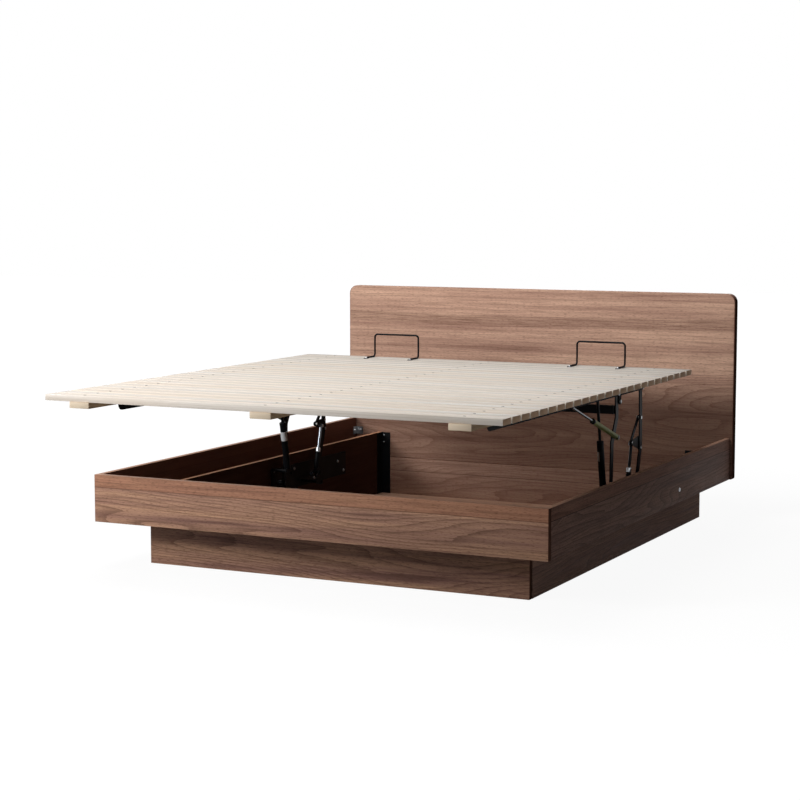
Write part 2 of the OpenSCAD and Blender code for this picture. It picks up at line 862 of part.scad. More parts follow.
module retainer_screws() {
    color(zinc) for (x = retainer_xs, s = [-1, 1])
        translate([x + s * (retainer_w / 2 - wire_d / 2), retainer_y - retainer_foot + tab_l / 2,
            deck_z + tab_t]) {
            cylinder(d1 = 9, d2 = 5, h = 2.5);
            translate([0, 0, -tab_t + 0.1]) cylinder(d = screw_d, h = tab_t);
        }
}

// ---------- nodes ----------

headboard();
foot_rail();
left() side_rail_right();  // side_rail_left
side_rail_right();
box_front();
left() box_side_right();  // box_side_left
box_side_right();
box_rear();
left() storage_floor_right();  // storage_floor_left
storage_floor_right();
floor_bearer_centre();
floor_bearers_side();
left() soffit_right();  // soffit_left
soffit_right();
soffit_foot();
rail_brackets();
rail_bracket_bolts();
box_corner_angles();
rail_bolt_caps();
left() base_plate_right();  // base_plate_left
base_plate_right();
base_plate_bolts();
base_pivot_pins();
strut_cheeks();
strut_cheek_bolts();
left() front_arm_right();  // front_arm_left
front_arm_right();
cross_beam();
spring_studs();
left() rear_arm_right();  // rear_arm_left
rear_arm_right();
rear_arm_plates();
rear_arm_links();
rear_arm_pins();
left() lift_spring_cylinder_right();  // lift_spring_cylinder_left
lift_spring_cylinder_right();
left() lift_spring_rod_right();  // lift_spring_rod_left
lift_spring_rod_right();
lift_spring_bolts();
left() front_strut_cylinder_right();  // front_strut_cylinder_left
front_strut_cylinder_right();
front_strut_bands();
left() front_strut_rod_right();  // front_strut_rod_left
front_strut_rod_right();
front_strut_bolts();
left() rear_stay_guide_right();  // rear_stay_guide_left
rear_stay_guide_right();
left() rear_stay_rod_right();  // rear_stay_rod_left
rear_stay_rod_right();
rear_stay_bolts();
slats();
slat_screws();
batten_left();
batten_centre();
batten_right();
left() upper_rail_right();  // upper_rail_left
upper_rail_right();
upper_pivot_bolts();
retainers();
retainer_screws();
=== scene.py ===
"""Looks of a lift-up platform bed: walnut-veneered boards, a slatted deck and its steel lift."""

import json
import logging
import math
from collections.abc import Callable, Sequence
from dataclasses import dataclass, field
from enum import Enum
from functools import cache

import bpy
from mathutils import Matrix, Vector


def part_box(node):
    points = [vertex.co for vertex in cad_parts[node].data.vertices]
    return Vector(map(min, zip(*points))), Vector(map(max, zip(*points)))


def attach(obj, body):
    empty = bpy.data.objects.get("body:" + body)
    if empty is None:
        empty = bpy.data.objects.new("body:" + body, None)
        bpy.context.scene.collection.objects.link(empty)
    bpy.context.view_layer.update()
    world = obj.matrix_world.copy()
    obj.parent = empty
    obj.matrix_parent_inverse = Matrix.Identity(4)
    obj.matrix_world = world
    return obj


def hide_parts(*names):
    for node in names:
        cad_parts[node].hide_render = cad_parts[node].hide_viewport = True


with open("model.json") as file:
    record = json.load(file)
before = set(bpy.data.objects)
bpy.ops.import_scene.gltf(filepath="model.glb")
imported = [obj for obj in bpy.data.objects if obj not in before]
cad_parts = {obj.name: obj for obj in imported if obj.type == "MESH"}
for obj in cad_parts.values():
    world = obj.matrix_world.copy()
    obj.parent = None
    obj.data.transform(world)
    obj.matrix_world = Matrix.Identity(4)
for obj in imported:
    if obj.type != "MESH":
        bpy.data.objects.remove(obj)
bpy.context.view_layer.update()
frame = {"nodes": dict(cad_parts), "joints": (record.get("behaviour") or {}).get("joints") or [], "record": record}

LOG = logging.getLogger("bed")

Tree = bpy.types.NodeTree
Parts = bpy.types.bpy_prop_collection
Socket = bpy.types.NodeSocket
Piece = bpy.types.Object
Triple = tuple[float, float, float]

MM = 0.001
FACING_FROM = 0.8  # part of a normal along an axis from which a face looks that way
FACING_FULL = 0.97  # the same, from which it fully does
HARD_EDGE = math.radians(50)  # least angle of an edge that gets eased
SMOOTH_BELOW = math.radians(35)  # angle up to which neighbouring faces shade as one
RING_STEPS = 48  # facets around a turned ring
SCREW_FACETS = 24  # facets around a screw


class Body(Enum):
    """Bodies that the new pieces move with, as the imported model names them."""

    FRAME = "frame"
    SPRING_CYLINDERS = "lift_spring_cylinders"
    STRUT_CYLINDERS = "front_strut_cylinders"
    STAY_GUIDES = "rear_stay_guides"
    PLATFORM = "platform"


class Slot(Enum):
    """Finishes of the record that pieces take their look from."""

    WALNUT = "walnut_veneer"
    DARK_BOARD = "dark_board"
    PALE_WOOD = "pale_wood"
    BLACK_STEEL = "black_steel"
    ZINC = "zinc"
    CHROME = "chrome"
    OLIVE = "olive_paint"


class Grain(Enum):
    """Row axis that a board's grain runs along, as a turn about Z that brings it to X."""

    ACROSS_BED = 0.0
    ALONG_BED = -math.pi / 2

    @property
    def end_axis(self) -> str:
        """Row axis that the ends of a board with this grain look along."""
        return "X" if self is Grain.ACROSS_BED else "Y"


def linear(hex_colour: str) -> tuple[float, ...]:
    """Turns an sRGB hex colour into linear RGBA."""
    parts = [int(hex_colour[i : i + 2], 16) / 255 for i in (1, 3, 5)]
    return (*(p / 12.92 if p <= 0.04045 else ((p + 0.055) / 1.055) ** 2.4 for p in parts), 1.0)


def add_node(tree: Tree, kind: str, settings: dict | None = None) -> bpy.types.Node:
    """Adds a node with its settings and links.

    Args:
        tree: the node tree.
        kind: the node's type, without its ShaderNode prefix.
        settings: by an attribute's name, or an input's name or number, a value, an sRGB hex
            colour, the socket that feeds it, or None to leave it as it is.

    Returns:
        The new node.
    """
    node = tree.nodes.new("ShaderNode" + kind)
    for key, value in (settings or {}).items():
        if isinstance(value, Socket):
            tree.links.new(value, node.inputs[key])
        elif isinstance(key, str) and hasattr(node, key):
            setattr(node, key, value)
        elif value is not None:
            colour = isinstance(value, str)
            node.inputs[key].default_value = linear(value) if colour else value
    return node


def math_node(
    tree: Tree, operation: str, first: Socket, second: Socket | float | None = None
) -> Socket:
    """Adds one step of arithmetic on a socket and another, or a number, or nothing."""
    return add_node(tree, "Math", {"operation": operation, 0: first, 1: second}).outputs[0]


def vector_node(
    tree: Tree, operation: str, first: Socket, second: Socket | Triple | float
) -> Socket:
    """Adds one step of vector arithmetic, with a factor for SCALE and else a second vector."""
    key = "Scale" if operation == "SCALE" else 1
    return add_node(tree, "VectorMath", {"operation": operation, 0: first, key: second}).outputs[0]


def noise_node(
    tree: Tree, at: Socket, per_m: Triple | float, detail: float, roughness: float
) -> Socket:
    """Adds a noise with features of a given size.

    Args:
        tree: the node tree.
        at: the point, in metres.
        per_m: features in a metre, along each axis or along all three.
        detail: octaves.
        roughness: weight of the finer octaves.

    Returns:
        The noise's socket, from 0 to 1.
    """
    scaled = vector_node(tree, "MULTIPLY" if isinstance(per_m, tuple) else "SCALE", at, per_m)
    settings = {"Vector": scaled, "Scale": 1.0, "Detail": detail, "Roughness": roughness}
    return add_node(tree, "TexNoise", settings).outputs[0]


def spread(
    tree: Tree, value: Socket, low: float, high: float, to_low: float, to_high: float
) -> Socket:
    """Maps a value from low..high to to_low..to_high and clamps it there."""
    ends = {"From Min": low, "From Max": high, "To Min": to_low, "To Max": to_high}
    return add_node(tree, "MapRange", {"Value": value} | ends).outputs[0]


def blend(tree: Tree, share: Socket, under: Socket | str, over: Socket | str) -> Socket:
    """Mixes two colours, each a socket or an sRGB hex string, with that share of the second."""
    return add_node(tree, "Mix", {"data_type": "RGBA", 0: share, 6: under, 7: over}).outputs[2]


def facing(tree: Tree, along: Socket, share: float) -> Socket:
    """Gives share where a face looks along an axis, from its normal's part along it, else 0."""
    return spread(tree, along, FACING_FROM, FACING_FULL, 0.0, share)


def parts_of(tree: Tree, vector: Socket) -> Parts:
    """Splits a vector into sockets that go by axis name."""
    return add_node(tree, "SeparateXYZ", {0: vector}).outputs


def normal_parts(tree: Tree) -> Parts:
    """Splits the surface's normal into sockets that go by axis name."""
    return parts_of(tree, add_node(tree, "NewGeometry").outputs["Normal"])


def along_grain(tree: Tree, place: Socket, grain: Grain, shift: float = 0.0) -> Socket:
    """Turns a point so that the grain runs along X, and shifts it by so many metres."""
    by = {"Rotation": (0, 0, grain.value), "Location": (shift, shift * 0.7, 0)}
    return add_node(tree, "Mapping", {"Vector": place} | by).outputs[0]


def bump_node(
    tree: Tree, height: Socket, strength: float, deep: float, invert: bool = False
) -> Socket:
    """Bumps the normal by a height from 0 to 1 whose relief is deep metres high."""
    how = {"Strength": strength, "Distance": deep, "invert": invert}
    return add_node(tree, "Bump", {"Height": height} | how).outputs[0]


def new_material(name: str) -> tuple[bpy.types.Material, Tree]:
    """Makes an empty node material.

    Args:
        name: the material's name.

    Returns:
        The material and its node tree, with no nodes in it.
    """
    material = bpy.data.materials.new(name)
    material.use_nodes = True
    material.node_tree.nodes.clear()
    return material, material.node_tree


@dataclass(frozen=True)
class Finish:
    """A surface finish, drawn by nodes that read the place on the piece.

    Attributes:
        name: the material's name.
    """

    name: str

    def paint(self, tree: Tree, place: Socket) -> Socket:
        """Adds the nodes that dress a place on the piece, and gives the shader's socket."""
        raise NotImplementedError

    @cache
    def build(self) -> bpy.types.Material:
        """Builds the finish's node material, only the first time that it is asked for.

        Returns:
            The finished material.
        """
        material, tree = new_material(self.name)
        place = add_node(tree, "TexCoord").outputs["Object"]
        add_node(tree, "OutputMaterial", {"Surface": self.paint(tree, place)})
        return material


@dataclass(frozen=True)
class WalnutVeneer(Finish):
    """Sliced walnut veneer under satin lacquer: arched growth rings, dark streaks and open pores.

    Heights and lengths are in metres.

    Attributes:
        grain: the axis that the figure runs along.
        seams: heights where two sheets meet, with a fine dark glue line.
        straight_above: height above which the rings run straight.
        light: colour of the early wood.
        mid: main colour.
        dark: colour of the rings' late wood and of the pores.
        end: colour of faces that look along the grain.
        cap: colour of upward faces, paler than the other faces.
        cap_share: how much of that colour shows.
        ring_share: how strongly the arched rings show; straight ones show half as much.
        inner_shade: colour of a painted shade on the faces that look towards the middle of the bed.
        inner_shade_share: how much of that painted shade shows.
        arris: colour of the rounded edges beside the ends.
        strip: colour that the veneer with the straight rings leans to.
        strip_share: how far it leans.
        lower: colour that the veneer below it leans to, for a darker sheet and a painted shade under the deck.
        lower_tone_and_shade_share: how far it leans.
        lower_shade_over: height over which it comes to lean that far, so that the painted shade deepens downwards.
        streak_z: height of a dark heartwood streak, 0 for none.
        gloss: specular level of the face, 0 for a dead matt one.
        shift: moves the figure, so that two boards don't match.
        sheet_shift: how far the figure jumps from one sheet to the next.
        glue_w: half the width of a glue line.
        arches: how many rings the arches cross.
        rings_per_m: rings in a metre across the grain.
    """

    grain: Grain
    seams: tuple[float, ...] = ()
    straight_above: float = 9.0
    light: str = "#c2987c"
    mid: str = "#8f6b60"
    dark: str = "#482f26"
    end: str = "#241a17"
    cap: str = "#b8927c"
    cap_share: float = 0.75
    ring_share: float = 0.48
    inner_shade: str = "#2a1a14"
    inner_shade_share: float = 0.0
    arris: str = "#75402f"
    strip: str = "#a0674a"
    strip_share: float = 0.0
    lower: str = "#4a3027"
    lower_tone_and_shade_share: float = 0.0
    lower_shade_over: float = 0.16
    streak_z: float = 0.0
    gloss: float = 0.1
    shift: float = 0.0
    sheet_shift: float = 3.7
    glue_w: float = 1.3 * MM
    arches: float = 26.0
    rings_per_m: float = 34.0

    def paint(self, tree: Tree, place: Socket) -> Socket:
        """Adds the veneer's nodes: figure, tones, faces, pores and a satin sheen.

        Args:
            tree: the node tree.
            place: the place on the piece.

        Returns:
            The shader's socket.
        """
        parts = parts_of(tree, place)
        height = parts["Z"]
        spot, glue = self.lay_sheets(tree, place, height)
        straight = math_node(tree, "GREATER_THAN", height, self.straight_above)
        slow, ring = self.draw_rings(tree, spot, straight)

        # Bands of tone 20 to 60 mm wide, fine fibres, and pores in short dashes
        tone = noise_node(tree, spot, (0.7, 20.0, 20.0), 4.0, 0.62)
        fibres = noise_node(tree, spot, (6.0, 190.0, 190.0), 3.0, 0.65)
        pores = noise_node(tree, spot, (55.0, 420.0, 420.0), 1.0, 0.5)

        colour = blend(tree, spread(tree, tone, 0.34, 0.62, 0.0, 1.0), self.mid, self.light)
        colour = blend(tree, spread(tree, tone, 0.42, 0.24, 0.0, 0.5), colour, self.dark)
        if self.strip_share:
            lean = math_node(tree, "MULTIPLY", straight, self.strip_share)
            colour = blend(tree, lean, colour, self.strip)
        # Below the straight rings the veneer darkens: partly a darker sheet, partly painted shade of the deck,
        # deepening downwards.
        if self.lower_tone_and_shade_share:
            deep = self.straight_above - self.lower_shade_over
            lean = spread(tree, height, self.straight_above, deep, 0.0, self.lower_tone_and_shade_share)
            colour = blend(tree, lean, colour, self.lower)
        if self.streak_z:
            wavy = math_node(tree, "MULTIPLY", math_node(tree, "SUBTRACT", slow, 0.5), 0.16)
            off = math_node(tree, "SUBTRACT", math_node(tree, "ADD", height, wavy), self.streak_z)
            near = spread(tree, math_node(tree, "ABSOLUTE", off), 0.008, 0.030, 0.5, 0.0)
            near = math_node(tree, "MULTIPLY", near, spread(tree, fibres, 0.3, 0.6, 0.3, 1.0))
            colour = blend(tree, near, colour, self.dark)
        colour = blend(tree, ring, colour, self.dark)
        colour = blend(tree, spread(tree, fibres, 0.46, 0.72, 0.0, 0.45), colour, self.dark)
        colour = blend(tree, spread(tree, pores, 0.54, 0.68, 0.0, 0.42), colour, self.dark)
        if glue is not None:
            colour = blend(tree, math_node(tree, "MULTIPLY", glue, 0.85), colour, self.end)
        colour, end = self.tint_faces(tree, colour, parts["X"])
        settings = {
            "IOR": 1.45,
            "Specular IOR Level": spread(tree, end, 0.3, 0.9, self.gloss, 0.0),
            "Base Color": colour,
            "Roughness": spread(tree, fibres, 0.0, 1.0, 0.46, 0.66),
            "Normal": bump_node(tree, pores, 0.3, 0.15 * MM, invert=True),
        }
        return add_node(tree, "BsdfPrincipled", settings).outputs[0]

    def lay_sheets(self, tree: Tree, place: Socket, height: Socket) -> tuple[Socket, Socket | None]:
        """Lays sheets with a figure of their own between the seams.

        Args:
            tree: the node tree.
            place: the place on the piece.
            height: its height.

        Returns:
            The place in the figure, and where glue lines show, or nothing with no seam.
        """
        spot = along_grain(tree, place, self.grain, self.shift)
        glue = None
        for seam in self.seams:
            above = math_node(tree, "GREATER_THAN", height, seam)
            jump = add_node(tree, "CombineXYZ", {0: above, 1: above, 2: above}).outputs[0]
            jump = vector_node(tree, "SCALE", jump, self.sheet_shift)
            spot = vector_node(tree, "ADD", spot, jump)
            off = math_node(tree, "ABSOLUTE", math_node(tree, "SUBTRACT", height, seam))
            line = math_node(tree, "LESS_THAN", off, self.glue_w)
            glue = line if glue is None else math_node(tree, "MAXIMUM", glue, line)
        return spot, glue

    def draw_rings(self, tree: Tree, spot: Socket, straight: Socket) -> tuple[Socket, Socket]:
        """Draws growth rings, arched below and straight above.

        Args:
            tree: the node tree.
            spot: the place in the figure.
            straight: 1 where the rings run straight, 0 where they arch.

        Returns:
            The slow field that the arches follow, and how strongly a ring shows.
        """
        # Level lines of a slow field 1.7 m long and 0.18 m across, roughened a little
        slow = noise_node(tree, spot, (0.6, 5.5, 5.5), 1.5, 0.45)
        rough = noise_node(tree, spot, (5.0, 60.0, 60.0), 3.0, 0.6)
        arched = math_node(tree, "MULTIPLY", slow, self.arches)
        arched = math_node(tree, "MULTIPLY", arched, spread(tree, straight, 0.0, 1.0, 1.0, 0.12))
        split = parts_of(tree, spot)
        across = math_node(tree, "ADD", split["Y"], split["Z"])
        across = math_node(tree, "MULTIPLY", across, self.rings_per_m)
        phase = math_node(tree, "ADD", arched, across)
        phase = math_node(tree, "ADD", phase, math_node(tree, "MULTIPLY", rough, 0.45))
        ring = spread(tree, math_node(tree, "FRACT", phase), 0.15, 0.97, 0.0, 1.0)
        ring = math_node(tree, "POWER", ring, 2.6)
        ring_by = spread(tree, straight, 0.0, 1.0, self.ring_share, 0.5 * self.ring_share)
        return slow, math_node(tree, "MULTIPLY", ring, ring_by)

    def tint_faces(self, tree: Tree, colour: Socket, across: Socket) -> tuple[Socket, Socket]:
        """Tints the ends and the upward faces, and paints shade on the faces towards the bed's middle.

        Args:
            tree: the node tree.
            colour: the veneer's colour so far.
            across: the place along the row's X axis, in metres.

        Returns:
            The colour, and how far a face looks along the grain.
        """
        looks = normal_parts(tree)
        end = math_node(tree, "ABSOLUTE", looks[self.grain.end_axis])
        colour = blend(tree, spread(tree, end, 0.15, 0.45, 0.0, 0.7), colour, self.arris)
        colour = blend(tree, facing(tree, end, 0.95), colour, self.end)
        # Painted shade: faces that look towards the bed's middle are darkened.
        if self.inner_shade_share:
            outward = math_node(tree, "MULTIPLY", math_node(tree, "SIGN", across), looks["X"])
            inward = math_node(tree, "MULTIPLY", outward, -1.0)
            colour = blend(tree, facing(tree, inward, self.inner_shade_share), colour, self.inner_shade)
        colour = blend(tree, facing(tree, looks["Z"], self.cap_share), colour, self.cap)
        return colour, end


@dataclass(frozen=True)
class PlanedSoftwood(Finish):
    """Planed pale softwood, bare: straight faint grain, each slat a little different in tone.

    Attributes:
        grain: the axis that the grain runs along.
        pitch: distance in metres from one board to the next, the default for a single board.
        start: where the first board starts, in metres along Y.
        jump: how far the figure jumps from board to board, in metres.
        light: colour of the early wood.
        mid: colour of the late wood.
        warm: colour that some boards lean to.
        end: colour of the end grain.
        between: colour of a painted light on the long sides in the gaps between boards, paler than the wood.
        gap_light_share: how much of that painted light shows.
        gap_light_after: distance from start to the first of those sides.
    """

    grain: Grain
    pitch: float = 10.0
    start: float = 0.0
    jump: float = 9.0
    light: str = "#e3ddd6"
    mid: str = "#c3bab0"
    warm: str = "#d8cabb"
    end: str = "#ecc19c"
    between: str = "#fff2e2"
    gap_light_share: float = 0.0
    gap_light_after: float = 20 * MM

    def paint(self, tree: Tree, place: Socket) -> Socket:
        """Adds the softwood's nodes.

        Args:
            tree: the node tree.
            place: the place on the piece.

        Returns:
            The shader's socket.
        """
        turned = along_grain(tree, place, self.grain)
        along_y = parts_of(tree, place)["Y"]
        count = math_node(tree, "SUBTRACT", along_y, self.start)
        count = math_node(tree, "DIVIDE", count, self.pitch)
        count = math_node(tree, "FLOOR", count)
        board = add_node(tree, "TexWhiteNoise", {"noise_dimensions": "1D", "W": count}).outputs
        jump = vector_node(tree, "SCALE", board["Color"], self.jump)
        moved = vector_node(tree, "ADD", turned, jump)

        # Growth rings 3 to 8 mm apart, long and almost straight, and soft warm clouds
        rings = noise_node(tree, moved, (1.0, 130.0, 130.0), 3.0, 0.6)
        soft = noise_node(tree, moved, (1.8, 14.0, 14.0), 2.0, 0.5)
        colour = blend(tree, spread(tree, rings, 0.38, 0.58, 0.0, 1.0), self.mid, self.light)
        cloudy = spread(tree, soft, 0.50, 0.75, 0.0, 0.4)
        warmth = math_node(tree, "ADD", cloudy, spread(tree, board["Value"], 0.3, 1.0, 0.0, 0.75))
        colour = blend(tree, warmth, colour, self.warm)
        looks = normal_parts(tree)
        # Painted light: the long sides in the gaps are paled, as if lit down into the gaps.
        if self.gap_light_share:
            side = facing(tree, math_node(tree, "ABSOLUTE", looks["Y"]), self.gap_light_share)
            behind = math_node(tree, "GREATER_THAN", along_y, self.start + self.gap_light_after)
            colour = blend(tree, math_node(tree, "MULTIPLY", side, behind), colour, self.between)
        end = facing(tree, math_node(tree, "ABSOLUTE", looks[self.grain.end_axis]), 0.9)
        colour = blend(tree, end, colour, self.end)
        settings = {
            "Base Color": colour,
            "IOR": 1.5,
            "Specular IOR Level": 0.1,
            "Roughness": 0.62,
            "Normal": bump_node(tree, rings, 0.3, 0.2 * MM),
        }
        return add_node(tree, "BsdfPrincipled", settings).outputs[0]


@dataclass(frozen=True)
class Coating(Finish):
    """A thin even coat on steel or board: powder coat, gloss paint or melamine, faintly mottled.

    Attributes:
        colour: main colour.
        shade: colour of the mottling.
        grit_m: size of the coat's orange peel.
        roughness: lowest and highest roughness.
        peel_m: height of the orange peel.
        specular: strength of the sheen.
    """

    colour: str
    shade: str
    grit_m: float
    roughness: tuple[float, float]
    peel_m: float
    specular: float = 0.5

    def paint(self, tree: Tree, place: Socket) -> Socket:
        """Adds the coating's nodes.

        Args:
            tree: the node tree.
            place: the place on the piece.

        Returns:
            The shader's socket.
        """
        cloud = noise_node(tree, place, 9.0, 4.0, 0.5)
        peel = noise_node(tree, place, 1 / self.grit_m, 2.0, 0.5)
        mottled = spread(tree, cloud, 0.35, 0.7, 0.0, 1.0)
        settings = {
            "IOR": 1.5,
            "Specular IOR Level": self.specular,
            "Base Color": blend(tree, mottled, self.colour, self.shade),
            "Roughness": spread(tree, cloud, 0.0, 1.0, *self.roughness),
            "Normal": bump_node(tree, peel, 0.4, self.peel_m),
        }
        return add_node(tree, "BsdfPrincipled", settings).outputs[0]


@dataclass(frozen=True)
class PlatedSteel(Finish):
    """Plated steel: zinc with a soft spangle, or polished chrome with faint wiping marks.

    Attributes:
        colour: the metal's colour.
        stain: colour of the duller patches.
        roughness: lowest and highest roughness.
        spangle_m: size of the patches.
    """

    colour: str
    stain: str
    roughness: tuple[float, float]
    spangle_m: float

    def paint(self, tree: Tree, place: Socket) -> Socket:
        """Adds the plated metal's nodes.

        Args:
            tree: the node tree.
            place: the place on the piece.

        Returns:
            The shader's socket.
        """
        patch = noise_node(tree, place, 1 / self.spangle_m, 3.0, 0.5)
        stained = spread(tree, patch, 0.4, 0.75, 0.0, 1.0)
        settings = {
            "Metallic": 1.0,
            "Base Color": blend(tree, stained, self.colour, self.stain),
            "Roughness": spread(tree, patch, 0.0, 1.0, *self.roughness),
        }
        return add_node(tree, "BsdfPrincipled", settings).outputs[0]


@dataclass(frozen=True)
class LeftToneRightShade(Finish):
    """A round piece with one look on the side towards the bed's left, and black past a line, a painted shade on
    the right-hand piece's outer side.

    Attributes:
        left: colour of the left side.
        line_x: where the left side ends along X, in metres.
        metallic: how metallic the left side is.
        roughness: roughness of the left side and of the black one.
        right: colour of the black side, the painted shade.
        blur: width over which one gives way to the other, in metres.
    """

    left: str
    line_x: float
    metallic: float = 0.0
    roughness: tuple[float, float] = (0.35, 0.43)
    right: str = "#101114"
    blur: float = 1.0 * MM

    def paint(self, tree: Tree, place: Socket) -> Socket:
        """Adds the two tones' nodes.

        Args:
            tree: the node tree.
            place: the place on the piece.

        Returns:
            The shader's socket.
        """
        across = parts_of(tree, place)["X"]
        ends = (self.line_x - self.blur / 2, self.line_x + self.blur / 2)
        # Painted shade: past line_x the piece turns black and loses its metal.
        painted_shade_share = spread(tree, across, *ends, 0.0, 1.0)
        settings = {
            "Specular IOR Level": 0.1,
            "Base Color": blend(tree, painted_shade_share, self.left, self.right),
            "Metallic": spread(tree, painted_shade_share, 0.0, 1.0, self.metallic, 0.0),
            "Roughness": spread(tree, painted_shade_share, 0.0, 1.0, *self.roughness),
        }
        return add_node(tree, "BsdfPrincipled", settings).outputs[0]


def middle_x(node: str) -> float:
    """Finds the middle of a node along X, in metres."""
    low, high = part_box(node)
    return (low.x + high.x) / 2


SLAT_PITCH = 80 * MM
SLAT_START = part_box("slats")[0].y - 2 * MM  # half a gap before the first slat's node

WALNUT_ACROSS = WalnutVeneer("walnut_veneer_across", Grain.ACROSS_BED, end="#6a4c3e", shift=0.4)
WALNUT_HEAD = WalnutVeneer(
    "walnut_veneer_head", Grain.ACROSS_BED, seams=(0.118,), straight_above=0.645, light="#d8b098",
    mid="#b18a78", dark="#644335", end="#5a4036", ring_share=0.45, lower_tone_and_shade_share=0.55,
    streak_z=0.845, shift=1.9,
)
WALNUT_FOOT = WalnutVeneer(
    "walnut_veneer_foot_rail", Grain.ACROSS_BED, end="#6a4c3e", seams=(0.312,),
    straight_above=0.312, strip_share=0.45, shift=5.3,
)
WALNUT_SIDE = WalnutVeneer(
    "walnut_veneer_side_rails", Grain.ALONG_BED, light="#ab897b", mid="#80665f", dark="#40302c",
    seams=(0.312,), straight_above=0.312, inner_shade="#6b473a", inner_shade_share=0.9, strip_share=0.3,
    gloss=0.02, shift=8.1,
)
WALNUT_ALONG = WalnutVeneer("walnut_veneer_along", Grain.ALONG_BED, gloss=0.03, shift=3.3)
WALNUT_BOX_SIDE = WalnutVeneer(
    "walnut_veneer_box_sides", Grain.ALONG_BED, light="#a8806b", mid="#7a584e", dark="#3c261f",
    cap="#c08e6f", cap_share=0.9, inner_shade="#3a2620", inner_shade_share=0.92, gloss=0.03, shift=6.2,
)
PALE_SLATS = PlanedSoftwood(
    "planed_softwood_slats", Grain.ACROSS_BED, SLAT_PITCH, SLAT_START, gap_light_share=0.8
)
# Painted shade: the battens' light and mid are a darker brown than the same wood in the slats, for the shade on
# their sides.
BATTENS_DARKENED_FOR_SHADE = PlanedSoftwood(
    "planed_softwood_battens_painted_shade", Grain.ALONG_BED, light="#c4ab8b", mid="#b0967a", end="#dccbb4"
)
PALE_BEARERS = PlanedSoftwood("planed_softwood_bearers", Grain.ALONG_BED)
DARK_MELAMINE = Coating(
    "dark_melamine_board", "#3a2a24", "#2c201b", 4.0 * MM, (0.45, 0.6), 0.03 * MM
)
POWDER_COAT = Coating(
    "black_powder_coat", "#121316", "#0c0d0f", 1.2 * MM, (0.36, 0.5), 0.02 * MM, specular=0.06
)
SCREW_SHADE = Coating(
    "screw_recess_shade", "#3a302a", "#2c2420", 2.0 * MM, (0.7, 0.9), 0.02 * MM, specular=0.0
)
MATT_BLACK = Coating(
    "black_angle_steel", "#101113", "#0b0c0d", 1.2 * MM, (0.6, 0.75), 0.02 * MM, specular=0.04
)
OLIVE_PAINT = Coating(
    "olive_gloss_paint", "#969d66", "#858b57", 3.0 * MM, (0.4, 0.55), 0.01 * MM, specular=0.15
)
# Painted shade: the right-hand band and rod are black on their outer sides; the rod's chrome colour is darkened as
# a painted dim reflection.
PLAIN_BAND = LeftToneRightShade(
    "plain_pale_band_shaded_right", "#cfd2d4", middle_x("front_strut_cylinder_right") - 1.5 * MM
)
STAY_ROD = LeftToneRightShade(
    "chrome_rod_shaded_right", "#6d7177", middle_x("rear_stay_rod_right") - 3.5 * MM, metallic=1.0,
    roughness=(0.12, 0.43),
)
ZINC_PLATE = PlatedSteel("zinc_plated_steel", "#c4c7ca", "#9a9ea3", (0.22, 0.42), 6.0 * MM)
DULL_ZINC = PlatedSteel("dull_zinc_bolts", "#8b8e91", "#6d7073", (0.35, 0.5), 4.0 * MM)
BLACKENED = PlatedSteel("blackened_screws", "#54514f", "#3d3b3a", (0.4, 0.55), 4.0 * MM)
# Painted reflection: the chrome colours are far darker than bright chrome, for the dim surroundings that the rods
# reflect; the lift springs' rods are darker still.
CHROME_DIMMED_REFLECTION = PlatedSteel("polished_chrome_dimmed_reflection", "#6d7177", "#5c6066", (0.08, 0.16), 30.0 * MM)
CHROME_RODS_DARK_REFLECTION = PlatedSteel("chrome_rods_painted_dark_reflection", "#565a60", "#484c52", (0.10, 0.2), 30.0 * MM)

SLOT_FINISHES: dict[Slot, Finish] = {
    Slot.WALNUT: WALNUT_ALONG,
    Slot.DARK_BOARD: DARK_MELAMINE,
    Slot.PALE_WOOD: PALE_BEARERS,
    Slot.BLACK_STEEL: POWDER_COAT,
    Slot.ZINC: ZINC_PLATE,
    Slot.CHROME: CHROME_DIMMED_REFLECTION,
    Slot.OLIVE: OLIVE_PAINT,
}


